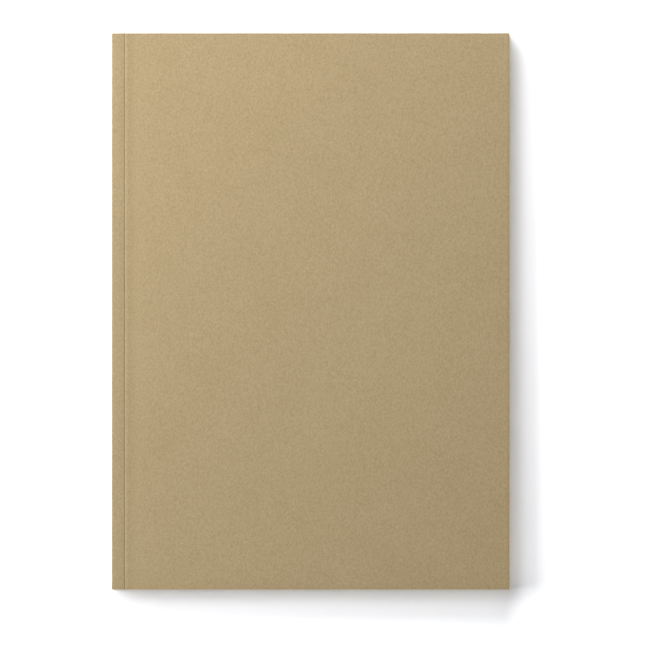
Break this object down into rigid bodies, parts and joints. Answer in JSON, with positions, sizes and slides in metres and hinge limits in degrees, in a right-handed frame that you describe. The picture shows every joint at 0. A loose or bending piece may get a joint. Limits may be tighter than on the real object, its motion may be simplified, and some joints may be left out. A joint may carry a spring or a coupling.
{
  "type": "notebook",
  "caption": "Closed softcover notebook: a block of cut leaves glued at the spine into one creased card cover that opens at its score lines.",
  "frame": {"origin": "middle of the underside of the closed notebook, which lies on its back cover", "axes": "+X from the spine to the fore edge, +Y from tail to head along the spine, +Z from the back cover to the front cover"},
  "size_m": [0.15, 0.21, 0.0068],
  "materials": {
    "card": "matte, fine fibre mottling",
    "paper": "uncoated writing paper",
    "glue": "clear amber hot-melt film"
  },
  "bodies": {
    "spine_section": {"spine_panel": "card", "back_hinge_strip": "card", "back_side_glue": "glue", "spine_glue_5": "glue", "leaf_37": "paper", "leaf_38": "paper", "leaf_39": "paper", "leaf_40": "paper", "leaf_41": "paper", "leaf_42": "paper", "leaf_43": "paper", "leaf_44": "paper", "leaf_45": "paper", "leaf_46": "paper", "leaf_47": "paper", "leaf_48": "paper"},
    "section_4": {"spine_glue_4": "glue", "leaf_26": "paper", "leaf_27": "paper", "leaf_28": "paper", "leaf_29": "paper", "leaf_30": "paper", "leaf_31": "paper", "leaf_32": "paper", "leaf_33": "paper", "leaf_34": "paper", "leaf_35": "paper", "leaf_36": "paper"},
    "section_3": {"spine_glue_3": "glue", "leaf_14": "paper", "leaf_15": "paper", "leaf_16": "paper", "leaf_17": "paper", "leaf_18": "paper", "leaf_19": "paper", "leaf_20": "paper", "leaf_21": "paper", "leaf_22": "paper", "leaf_23": "paper", "leaf_24": "paper", "leaf_25": "paper"},
    "section_2": {"spine_glue_2": "glue", "leaf_02": "paper", "leaf_03": "paper", "leaf_04": "paper", "leaf_05": "paper", "leaf_06": "paper", "leaf_07": "paper", "leaf_08": "paper", "leaf_09": "paper", "leaf_10": "paper", "leaf_11": "paper", "leaf_12": "paper", "leaf_13": "paper"},
    "first_leaf": {"leaf_01": "paper", "front_side_glue": "glue", "front_hinge_strip": "card"},
    "front_cover": {"front_cover": "card"},
    "back_cover": {"back_cover": "card"}
  },
  "joints": [
    {"name": "section_4_turn", "type": "hinge", "parent": "spine_section", "child": "section_4", "pos_m": [-0.075, 0, 0.00682], "axis": [0, -1, 0], "range_deg": [0, 180]},
    {"name": "section_3_turn", "type": "hinge", "parent": "section_4", "child": "section_3", "pos_m": [-0.075, 0, 0.00682], "axis": [0, -1, 0], "range_deg": [0, 180]},
    {"name": "section_2_turn", "type": "hinge", "parent": "section_3", "child": "section_2", "pos_m": [-0.075, 0, 0.00682], "axis": [0, -1, 0], "range_deg": [0, 180]},
    {"name": "first_leaf_turn", "type": "hinge", "parent": "section_2", "child": "first_leaf", "pos_m": [-0.075, 0, 0.00682], "axis": [0, -1, 0], "range_deg": [0, 180]},
    {"name": "front_cover_hinge", "type": "hinge", "parent": "first_leaf", "child": "front_cover", "pos_m": [-0.0701, 0, 0.00684], "axis": [0, -1, 0], "range_deg": [0, 180]},
    {"name": "back_cover_hinge", "type": "hinge", "parent": "spine_section", "child": "back_cover", "pos_m": [-0.0701, 0, -0.00002], "axis": [0, 1, 0], "range_deg": [0, 180]}
  ]
}
